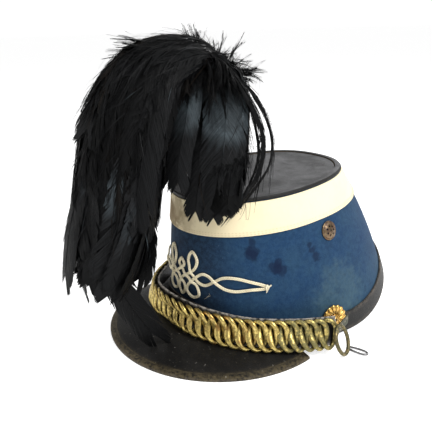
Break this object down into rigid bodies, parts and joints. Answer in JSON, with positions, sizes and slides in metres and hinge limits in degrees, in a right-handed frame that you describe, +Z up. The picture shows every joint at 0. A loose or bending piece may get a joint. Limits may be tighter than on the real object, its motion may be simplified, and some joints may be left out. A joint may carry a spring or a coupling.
{
  "type": "shako hat",
  "caption": "Stiff cloth dress hat with a leather crown, peak and base band, a corded knot, a curb chain on a chin strap, and a drooping feather plume on a stem",
  "frame": {"origin": "The middle of the base of the bounding box, on the surface the hat stands on.", "axes": "+Z is up, -Y is the front where the peak and the plume are, and +X is the wearer's left."},
  "size_m": [0.226, 0.3116, 0.2388],
  "materials": {
    "blue_cloth": "matt felted wool cloth, steel blue, faded and stained",
    "ivory_band": "matt ivory facing cloth, slightly soiled",
    "ivory_cord": "flat braided cord, cream",
    "black_leather": "worn black leather, low sheen, scuffed edges",
    "crown_leather": "dull dark grey leather, mottled",
    "chain_brass": "aged brass, olive and red-brown patina in the recesses",
    "gilt_brass": "gilt brass, warm and slightly worn",
    "aged_bronze": "dull brown and green-grey oxidised brass",
    "steel_wire": "dull grey steel wire",
    "feather": "black cock's tail feathers with a faint blue-green sheen"
  },
  "bodies": {
    "root": {"shell": "blue_cloth", "crown_disc": "crown_leather", "crown_roll": "black_leather", "top_band": "ivory_band", "base_band": "black_leather", "peak": "black_leather", "chin_strap": "black_leather", "tab_left": "aged_bronze", "tab_right": "aged_bronze", "boss_left": "gilt_brass", "boss_right": "gilt_brass", "vent_left": "aged_bronze", "vent_right": "aged_bronze", "knot": "ivory_cord", "plume": "feather", "plume_socket": "aged_bronze", "end_ring": "aged_bronze", "wire_loop": "steel_wire", "chain_link_01": "chain_brass", "chain_link_02": "chain_brass", "chain_link_03": "chain_brass", "chain_link_04": "chain_brass", "chain_link_05": "chain_brass", "chain_link_06": "chain_brass", "chain_link_07": "chain_brass", "chain_link_08": "chain_brass", "chain_link_09": "chain_brass", "chain_link_10": "chain_brass", "chain_link_11": "chain_brass", "chain_link_12": "chain_brass", "chain_link_13": "chain_brass", "chain_link_14": "chain_brass", "chain_link_15": "chain_brass", "chain_link_16": "chain_brass", "chain_link_17": "chain_brass", "chain_link_18": "chain_brass", "chain_link_19": "chain_brass", "chain_link_20": "chain_brass", "chain_link_21": "chain_brass", "chain_link_22": "chain_brass", "chain_link_23": "chain_brass", "chain_link_24": "chain_brass", "chain_link_25": "chain_brass", "chain_link_26": "chain_brass", "chain_link_27": "chain_brass", "chain_link_28": "chain_brass", "chain_link_29": "chain_brass", "chain_link_30": "chain_brass", "chain_link_31": "chain_brass", "chain_link_32": "chain_brass", "chain_link_33": "chain_brass", "chain_link_34": "chain_brass", "chain_link_35": "chain_brass"}
  },
  "joints": []
}
